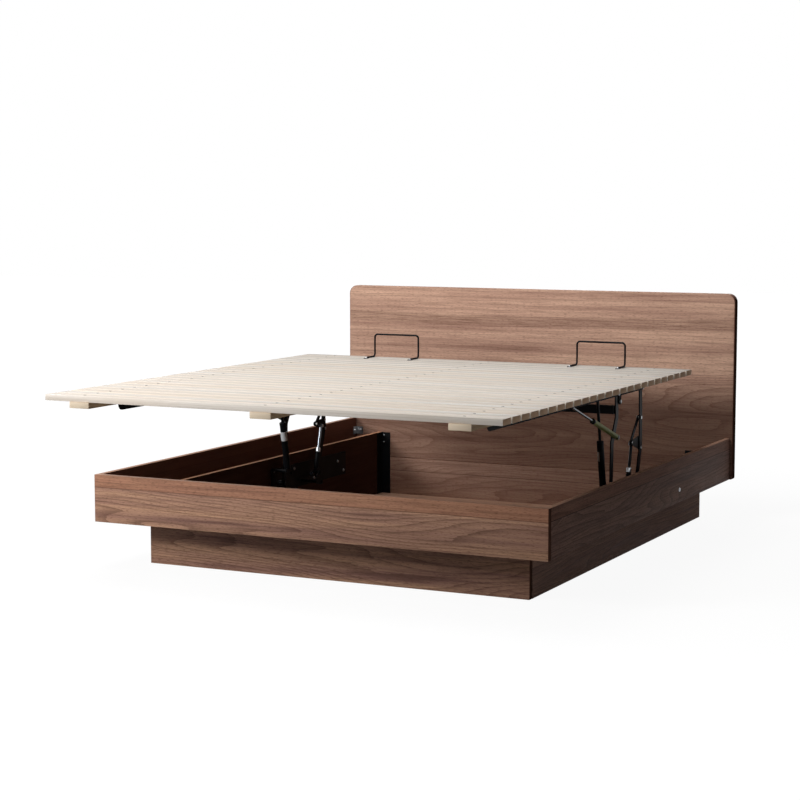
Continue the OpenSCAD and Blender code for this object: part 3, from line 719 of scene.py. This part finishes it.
class Bench:
    """Modelling steps shared by all the sub-assemblies."""

    @staticmethod
    def deselect() -> None:
        """Deselects every object."""
        if bpy.context.object and bpy.context.object.mode != "OBJECT":
            bpy.ops.object.mode_set(mode="OBJECT")
        bpy.ops.object.select_all(action="DESELECT")

    @staticmethod
    def take(piece: Piece) -> None:
        """Makes a piece the only one selected, and active.

        Args:
            piece: the piece.
        """
        Bench.deselect()
        piece.select_set(True)
        bpy.context.view_layer.objects.active = piece

    @staticmethod
    def settle(piece: Piece) -> Piece:
        """Moves a piece's place, turn and scale into its mesh.

        Args:
            piece: the piece.

        Returns:
            The piece.
        """
        Bench.take(piece)
        bpy.ops.object.transform_apply(location=True, rotation=True, scale=True)
        return piece

    @staticmethod
    def block(name: str, low: Vector, high: Vector) -> Piece:
        """Adds a block between two corners.

        Args:
            name: the piece's name.
            low: its lowest corner.
            high: its highest corner.

        Returns:
            The block, with its place in its mesh.
        """
        Bench.deselect()
        bpy.ops.mesh.primitive_cube_add(size=1, location=(low + high) / 2, scale=high - low)
        piece = bpy.context.object
        piece.name = name
        return Bench.settle(piece)

    @staticmethod
    def bevel(
        piece: Piece,
        radius: float,
        segments: int = 2,
        wanted: Callable[[Vector, Vector], bool] | None = None,
    ) -> None:
        """Rounds the edges whose ends pass a test, or else all the hard ones.

        Args:
            piece: the mesh.
            radius: radius of the round.
            segments: its steps.
            wanted: takes the two ends of an edge.
        """
        Bench.take(piece)
        bpy.ops.object.mode_set(mode="EDIT")
        bpy.ops.mesh.select_mode(type="EDGE")
        bpy.ops.mesh.select_all(action="DESELECT")
        if wanted is None:
            bpy.ops.mesh.edges_select_sharp(sharpness=HARD_EDGE)
        else:
            bpy.ops.object.mode_set(mode="OBJECT")
            points = piece.data.vertices
            for edge in piece.data.edges:
                a, b = (points[i].co for i in edge.vertices)
                edge.select = wanted(a, b)
            bpy.ops.object.mode_set(mode="EDIT")
        bpy.ops.mesh.bevel(offset=radius, segments=segments, affect="EDGES")
        bpy.ops.object.mode_set(mode="OBJECT")

    @staticmethod
    def join(name: str, pieces: Sequence[Piece]) -> Piece:
        """Joins pieces into one object.

        Args:
            name: the joined piece's name.
            pieces: what is joined.

        Returns:
            The joined piece.
        """
        Bench.deselect()
        for piece in pieces:
            piece.select_set(True)
        bpy.context.view_layer.objects.active = pieces[0]
        bpy.ops.object.join()
        joined = bpy.context.object
        joined.name = name
        return joined

    @staticmethod
    def copy(piece: Piece, to: Triple, turn: Triple = (0, 0, 0)) -> Piece:
        """Copies a piece with its own mesh, and turns and moves the copy.

        Args:
            piece: what is copied, with its place in its mesh.
            to: how far the copy lies from it.
            turn: its turn about the origin, as Euler angles.

        Returns:
            The copy, with its place in its mesh.
        """
        Bench.take(piece)
        bpy.ops.object.duplicate(linked=False)
        twin = bpy.context.object
        twin.rotation_euler = turn
        twin.location = to
        return Bench.settle(twin)

    @staticmethod
    def turn_ring(
        name: str, bore_r: float, outer_r: float, start: float, length: float, round_r: float
    ) -> Piece:
        """Turns a ring about the Z axis from a bevelled profile.

        Args:
            name: the piece's name.
            bore_r: inner radius.
            outer_r: outer radius.
            start: height of its lower end.
            length: its length along Z.
            round_r: radius of its two outer edges.

        Returns:
            The ring.
        """
        Bench.deselect()
        middle = (bore_r + outer_r) / 2
        bpy.ops.mesh.primitive_plane_add(
            size=1, location=(middle, 0, start + length / 2), rotation=(math.pi / 2, 0, 0)
        )
        piece = bpy.context.object
        piece.name = name
        piece.scale = (outer_r - bore_r, length, 1)
        Bench.settle(piece)
        for point in piece.data.vertices:
            point.select = point.co.x > middle
        bpy.ops.object.mode_set(mode="EDIT")
        bpy.ops.mesh.select_mode(type="VERT")
        bpy.ops.mesh.bevel(offset=round_r, segments=4, affect="VERTICES")
        bpy.ops.mesh.select_all(action="SELECT")
        bpy.ops.mesh.delete(type="ONLY_FACE")
        bpy.ops.mesh.select_all(action="SELECT")
        bpy.ops.mesh.spin(
            steps=RING_STEPS, angle=2 * math.pi, center=(0, 0, 0), axis=(0, 0, 1), use_auto_merge=True
        )
        bpy.ops.mesh.select_all(action="SELECT")
        bpy.ops.mesh.remove_doubles(threshold=1e-6)
        bpy.ops.mesh.normals_make_consistent(inside=False)
        bpy.ops.object.mode_set(mode="OBJECT")
        return piece

    @staticmethod
    def finish(
        piece: Piece, finish: Finish, body: Body, slot: Slot, replaced: Sequence[str] = ()
    ) -> None:
        """Smooths and dresses a piece, and ties it to its body.

        Args:
            piece: the finished mesh.
            finish: its surface.
            body: the body that it moves with.
            slot: the record's slot of its finish; not used.
            replaced: the model's nodes that it stands for.
        """
        Bench.take(piece)
        bpy.ops.object.shade_smooth_by_angle(angle=SMOOTH_BELOW)
        piece.data.materials.clear()
        piece.data.materials.append(finish.build())
        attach(piece, body.value)
        if replaced:
            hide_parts(*replaced)
        LOG.info("%s: %d faces", piece.name, len(piece.data.polygons))


@dataclass
class Boards:
    """The veneered boards of the frame and the storage box, with eased edges.

    Attributes:
        ease_m: radius of the boards' edges.
        headboard_r: radius of the headboard's upper corners.
        headboard_foot_r: radius of its lower corners.
        headboard_steps: steps of those two rounds.
        headboard_ease: radius of its edges.
        plain: the other boards, with their veneers.
    """

    ease_m: float = 1.5 * MM
    headboard_r: float = 38 * MM
    headboard_foot_r: float = 8 * MM
    headboard_steps: tuple[int, int] = (14, 5)
    headboard_ease: float = 4 * MM
    plain: dict[str, WalnutVeneer] = field(
        default_factory=lambda: {
            "foot_rail": WALNUT_FOOT,
            "side_rail_left": WALNUT_SIDE,
            "side_rail_right": WALNUT_SIDE,
            "box_front": WALNUT_ACROSS,
            "box_rear": WALNUT_HEAD,
            "storage_floor_left": WALNUT_ACROSS,
            "storage_floor_right": WALNUT_ACROSS,
        }
    )

    def build(self) -> None:
        """Builds every board that gets eased edges."""
        for node, veneer in self.plain.items():
            piece = Bench.block("board_" + node, *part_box(node))
            Bench.bevel(piece, self.ease_m)
            Bench.finish(piece, veneer, Body.FRAME, Slot.WALNUT, [node])
        self.build_headboard()

    def build_headboard(self) -> None:
        """Builds the headboard: two large upper corners, two small lower ones, soft edges."""
        low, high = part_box("headboard")
        piece = Bench.block("board_headboard", low, high)
        half_height = (low.z + high.z) / 2
        half_depth = (high.y - low.y) / 2
        radii = (self.headboard_r, self.headboard_foot_r)
        for radius, segments, upper in zip(radii, self.headboard_steps, (True, False)):
            Bench.bevel(
                piece,
                radius,
                segments,
                lambda a, b, upper=upper: abs(a.y - b.y) > half_depth
                and (a.z > half_height) == upper
                and min(abs(a.x - low.x), abs(a.x - high.x)) < MM,
            )
        Bench.bevel(piece, self.headboard_ease, 3)
        Bench.finish(piece, WALNUT_HEAD, Body.FRAME, Slot.WALNUT, ["headboard"])


@dataclass
class Deck:
    """The platform's slats and battens, with eased edges and a recess at each screw.

    Attributes:
        ease_m: radius of the edges.
        slat_w: width of a slat.
        count: number of slats.
        recess_d: diameter of a screw's recess.
        recess_h: its depth.
        skin: how near to a slat's top a face counts as part of it.
        battens: the battens' nodes.
    """

    ease_m: float = 1.5 * MM
    slat_w: float = 68 * MM
    count: int = 25
    recess_d: float = 11 * MM
    recess_h: float = 2.5 * MM
    skin: float = 0.1 * MM
    battens: tuple[str, ...] = ("batten_left", "batten_centre", "batten_right")

    def build(self) -> None:
        """Builds the slats and the battens."""
        low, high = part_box("slats")
        first_y = low.y + (high.y - low.y - (self.count - 1) * SLAT_PITCH) / 2
        first = Bench.block(
            "slat",
            Vector((low.x, first_y - self.slat_w / 2, low.z)),
            Vector((high.x, first_y + self.slat_w / 2, high.z)),
        )
        Bench.bevel(first, self.ease_m)
        screw_xs = [middle_x(node) for node in self.battens]
        for x in screw_xs:
            self.sink_screw(first, x, first_y, high.z)
        copies = [Bench.copy(first, (0, i * SLAT_PITCH, 0)) for i in range(1, self.count)]
        deck = Bench.join("deck_slats", [first, *copies])
        Bench.finish(deck, PALE_SLATS, Body.PLATFORM, Slot.PALE_WOOD, ["slats"])
        deck.data.materials.append(SCREW_SHADE.build())
        reach = self.recess_d / 2 + self.skin
        for face in deck.data.polygons:
            along = (face.center.y - first_y + SLAT_PITCH / 2) % SLAT_PITCH - SLAT_PITCH / 2
            near = any(abs(face.center.x - x) < reach for x in screw_xs) and abs(along) < reach
            if near and low.z + MM < face.center.z < high.z - self.skin:
                face.material_index = 1
        for node in self.battens:
            piece = Bench.block("deck_" + node, *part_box(node))
            Bench.bevel(piece, self.ease_m)
            Bench.finish(piece, BATTENS_DARKENED_FOR_SHADE, Body.PLATFORM, Slot.PALE_WOOD, [node])

    def sink_screw(self, slat: Piece, x: float, y: float, top: float) -> None:
        """Cuts the recess of one screw into a slat.

        Args:
            slat: the slat.
            x: the screw's place along X, in metres.
            y: its place along Y.
            top: height of the slat's top.
        """
        Bench.deselect()
        bpy.ops.mesh.primitive_cylinder_add(
            vertices=SCREW_FACETS, radius=self.recess_d / 2, depth=2 * self.recess_h,
            location=(x, y, top),
        )
        cutter = bpy.context.object
        Bench.take(slat)
        cut = slat.modifiers.new("recess", "BOOLEAN")
        cut.operation = "DIFFERENCE"
        cut.solver = "EXACT"
        cut.object = cutter
        bpy.ops.object.modifier_apply(modifier=cut.name)
        bpy.data.objects.remove(cutter)


@dataclass(frozen=True)
class Sleeve:
    """A turned ring around a strut: a collar, an end cap or a cap for its rod's guide.

    Attributes:
        name: the piece's name, without its side.
        strut: the strut's name in the model's joints.
        node: the node that it sits on, without its side.
        body: the body that it moves with.
        start: distance from the strut's lower pivot to the ring.
        length: the ring's length.
        bore_d: its inner diameter.
        outer_d: its outer diameter.
        round_r: radius of its outer edges.
        slot: its finish in the record.
    """

    name: str
    strut: str
    node: str
    body: Body
    start: float
    length: float
    bore_d: float
    outer_d: float
    round_r: float
    slot: Slot = Slot.BLACK_STEEL

    def build(self) -> None:
        """Turns the ring on both sides of the bed."""
        joints = {joint["name"]: joint for joint in frame["joints"]}
        pivot = Vector(joints[self.strut + "_tilt"]["pos_m"])
        aim = Vector(joints[self.strut + "_stroke"]["axis"])
        for side in ("left", "right"):
            ring = Bench.turn_ring(
                f"{self.name}_{side}",
                self.bore_d / 2,
                self.outer_d / 2,
                self.start,
                self.length,
                self.round_r,
            )
            ring.rotation_euler = (-math.atan2(aim.y, aim.z), 0, 0)
            ring.location = (middle_x(f"{self.node}_{side}"), pivot.y, pivot.z)
            Bench.settle(ring)
            Bench.finish(ring, SLOT_FINISHES[self.slot], self.body, self.slot)


@dataclass
class Fittings:
    """Small turned parts on the struts and in the storage box's corners.

    Attributes:
        sleeves: the rings on the struts.
        screw_d: diameter of a corner angle's screw head.
        screw_h: its height.
        screw_round: radius of its edge.
        screw_in: distance of the screws from the angle's outer face.
        screw_drops: their distances below the angle's top.
        angle_t: the angle's thickness.
    """

    sleeves: tuple[Sleeve, ...] = (
        Sleeve(
            "lift_spring_collar", "lift_spring", "lift_spring_cylinder", Body.SPRING_CYLINDERS,
            start=285 * MM, length=13 * MM,
            bore_d=10.8 * MM, outer_d=22.2 * MM, round_r=2.0 * MM,
        ),
        Sleeve(
            "lift_spring_cap", "lift_spring", "lift_spring_cylinder", Body.SPRING_CYLINDERS,
            start=13 * MM, length=8 * MM,
            bore_d=12.0 * MM, outer_d=21.8 * MM, round_r=2.5 * MM,
        ),
        Sleeve(
            "front_strut_collar", "front_strut", "front_strut_cylinder", Body.STRUT_CYLINDERS,
            start=211 * MM, length=14 * MM,
            bore_d=12.8 * MM, outer_d=28.4 * MM, round_r=3.0 * MM,
        ),
        Sleeve(
            "rear_stay_cap", "rear_stay", "rear_stay_guide", Body.STAY_GUIDES,
            start=89 * MM, length=19 * MM,
            bore_d=12.8 * MM, outer_d=21.2 * MM, round_r=1.5 * MM,
            slot=Slot.ZINC,
        ),
    )
    screw_d: float = 9 * MM
    screw_h: float = 3 * MM
    screw_round: float = 1.4 * MM
    screw_in: float = 15 * MM
    screw_drops: tuple[float, float] = (14 * MM, 46 * MM)
    angle_t: float = 3 * MM

    def build(self) -> None:
        """Builds the sleeves of the struts and the screws of the corner angles."""
        for sleeve in self.sleeves:
            sleeve.build()
        low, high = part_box("box_corner_angles")
        first = self.corner_screw()
        domes = []
        for x in (low.x + self.screw_in, high.x - self.screw_in):
            for drop in self.screw_drops:
                for y, turn in ((low.y + self.angle_t, math.pi), (high.y - self.angle_t, 0.0)):
                    domes.append(Bench.copy(first, (x, y, high.z - drop), (0, 0, turn)))
        bpy.data.objects.remove(first)
        screws = Bench.join("corner_angle_screws", domes)
        Bench.finish(screws, DULL_ZINC, Body.FRAME, Slot.ZINC)

    def corner_screw(self) -> Piece:
        """Models one low round screw head, facing the foot end.

        Returns:
            The head, at the origin.
        """
        Bench.deselect()
        bpy.ops.mesh.primitive_cylinder_add(
            vertices=SCREW_FACETS, radius=self.screw_d / 2, depth=self.screw_h,
            location=(0, -self.screw_h / 2, 0), rotation=(math.pi / 2, 0, 0),
        )
        head = Bench.settle(bpy.context.object)
        face = -self.screw_h + 0.1 * MM
        Bench.bevel(head, self.screw_round, 3, lambda a, b: a.y < face and b.y < face)
        return head


@dataclass
class PlainNodes:
    """Nodes of the model whose shape is right as it is, dressed in their finishes.

    Attributes:
        own: finishes of the nodes that differ from their slot's.
    """

    own: dict[str, Finish] = field(
        default_factory=lambda: {
            **dict.fromkeys(("box_side_left", "box_side_right"), WALNUT_BOX_SIDE),
            **dict.fromkeys(("slat_screws", "lift_spring_bolts", "spring_studs"), BLACKENED),
            **dict.fromkeys(("base_plate_bolts", "rail_bolt_caps", "upper_pivot_bolts"), DULL_ZINC),
            **dict.fromkeys(("lift_spring_rod_left", "lift_spring_rod_right"), CHROME_RODS_DARK_REFLECTION),
            **dict.fromkeys(("upper_rail_left", "upper_rail_right"), MATT_BLACK),
            **dict.fromkeys(("rear_stay_rod_left", "rear_stay_rod_right"), STAY_ROD),
            "front_strut_bands": PLAIN_BAND,
        }
    )

    def build(self) -> None:
        """Dresses every node, most of them from their slot in the record."""
        for part in frame["record"]["subparts"]:
            node, slot = part["node"], Slot(part["material_slot"])
            mesh = frame["nodes"][node].data
            mesh.materials.clear()
            mesh.materials.append(self.own.get(node, SLOT_FINISHES[slot]).build())


@dataclass(frozen=True)
class Lamp:
    """A square area lamp.

    Attributes:
        name: the lamp's name.
        at: where it stands, in metres.
        towards: what it points at.
        size: length of its side.
        watts: its power.
    """

    name: str
    at: Triple
    towards: Triple
    size: float
    watts: float

    def build(self) -> None:
        """Adds the lamp to the scene."""
        data = bpy.data.lights.new(self.name, "AREA")
        data.size = self.size
        data.energy = self.watts
        lamp = bpy.data.objects.new(self.name, data)
        lamp.location = self.at
        aim = Vector(self.towards) - Vector(self.at)
        lamp.rotation_euler = aim.to_track_quat("-Z", "Y").to_euler()
        bpy.context.scene.collection.objects.link(lamp)


@dataclass
class Studio:
    """Camera at the photograph's view, soft lamps and a pale floor.

    Attributes:
        camera_at: where the camera stands, in metres.
        pitch_deg: how far it looks down.
        yaw_deg: how far it turns to the left.
        lens_px: its focal length, in pixels of the photograph.
        image_px: the photograph's width.
        sensor_mm: the sensor's width.
        sight_m: how far the camera sees.
        lamps: the lamps.
        world_light: strength of the world where it lights the bed.
        floor_m: length of the floor's side.
        floor_gap: how far the floor lies below the bed.
        floor_grey: the floor's colour under the lamps.
        glow_share: how much of the floor's glow the camera and reflections see.
        glow: strength of the glow near the bed and away from it.
        glow_at: distances from the origin of those two places.
    """

    camera_at: Triple = (3.349, -7.239, 1.426)
    pitch_deg: float = 6.07
    yaw_deg: float = 26.12
    lens_px: float = 1944.6
    image_px: float = 800.0
    sensor_mm: float = 36.0
    sight_m: float = 60.0
    lamps: tuple[Lamp, ...] = (
        Lamp("key", (-3.15, -4.5, 2.4), (0.0, -0.1, 0.5), size=1.5, watts=195.0),
        Lamp("fill", (4.6, -3.2, 2.6), (0.0, 0.0, 0.4), size=3.0, watts=2.5),
        Lamp("top", (-0.9, -1.5, 4.3), (0.0, -0.2, 0.4), size=2.0, watts=114.0),
        Lamp("back", (-1.2, 6.2, 2.6), (0.0, 1.0, 0.5), size=2.4, watts=90.0),
    )
    world_light: float = 0.02
    floor_m: float = 40.0
    floor_gap: float = 1 * MM
    floor_grey: float = 0.4
    glow_share: float = 0.8
    glow: tuple[float, float] = (1.17, 1.27)
    glow_at: tuple[float, float] = (1.5, 4.5)

    def build(self) -> None:
        """Sets up the view, the light and the floor."""
        scene = bpy.context.scene
        scene.view_settings.view_transform = "Standard"
        data = bpy.data.cameras.new("view")
        data.sensor_width = self.sensor_mm
        data.lens = self.lens_px * self.sensor_mm / self.image_px
        data.clip_end = self.sight_m
        camera = bpy.data.objects.new("view", data)
        camera.location = self.camera_at
        camera.rotation_euler = (math.radians(90 - self.pitch_deg), 0, math.radians(self.yaw_deg))
        scene.collection.objects.link(camera)
        scene.camera = camera
        self.build_world(scene)
        self.build_floor()
        for lamp in self.lamps:
            lamp.build()

    @staticmethod
    def rays(tree: Tree, *kinds: str) -> Socket:
        """Tells rays of some kinds from the rest.

        Args:
            tree: the node tree.
            kinds: outputs of the Light Path node.

        Returns:
            A socket that is 1 for those rays and 0 for others.
        """
        outputs = add_node(tree, "LightPath").outputs
        seen = outputs[kinds[0]]
        for kind in kinds[1:]:
            seen = math_node(tree, "MAXIMUM", seen, outputs[kind])
        return seen

    def build_world(self, scene: bpy.types.Scene) -> None:
        """Builds a dim even world that shows white to the camera and in reflections.

        Args:
            scene: the scene that it belongs to.
        """
        world = bpy.data.worlds.new("studio")
        scene.world = world
        world.use_nodes = True
        tree = world.node_tree
        tree.nodes.clear()
        seen = self.rays(tree, "Is Camera Ray", "Is Glossy Ray", "Is Transmission Ray")
        strength = spread(tree, seen, 0.0, 1.0, self.world_light, 1.0)
        light = add_node(tree, "Background", {"Color": "#ffffff", "Strength": strength})
        add_node(tree, "OutputWorld", {"Surface": light.outputs[0]})

    def build_floor(self) -> None:
        """Builds the pale floor, which keeps a faint shadow of the bed."""
        Bench.deselect()
        bpy.ops.mesh.primitive_plane_add(size=self.floor_m, location=(0, 0, -self.floor_gap))
        floor = bpy.context.object
        floor.name = "floor"
        material, tree = new_material("studio_floor")
        seen = self.rays(tree, "Is Camera Ray", "Is Glossy Ray")
        share = math_node(tree, "MULTIPLY", seen, self.glow_share)
        place = add_node(tree, "TexCoord").outputs["Object"]
        away = add_node(tree, "VectorMath", {"operation": "LENGTH", 0: place}).outputs["Value"]
        strength = spread(tree, away, *self.glow_at, *self.glow)
        grey = (self.floor_grey, self.floor_grey, self.floor_grey, 1)
        matt = add_node(tree, "BsdfDiffuse", {"Color": grey}).outputs[0]
        glow = add_node(tree, "Emission", {"Color": "#ffffff", "Strength": strength})
        mixed = add_node(tree, "MixShader", {0: share, 1: matt, 2: glow.outputs[0]})
        add_node(tree, "OutputMaterial", {"Surface": mixed.outputs[0]})
        floor.data.materials.append(material)


def main() -> None:
    """Builds the studio, the boards, the deck and the hardware."""
    logging.basicConfig(level=logging.INFO, format="%(name)s %(message)s")
    Studio().build()
    PlainNodes().build()
    Boards().build()
    Deck().build()
    Fittings().build()


if __name__ == "__main__":
    main()
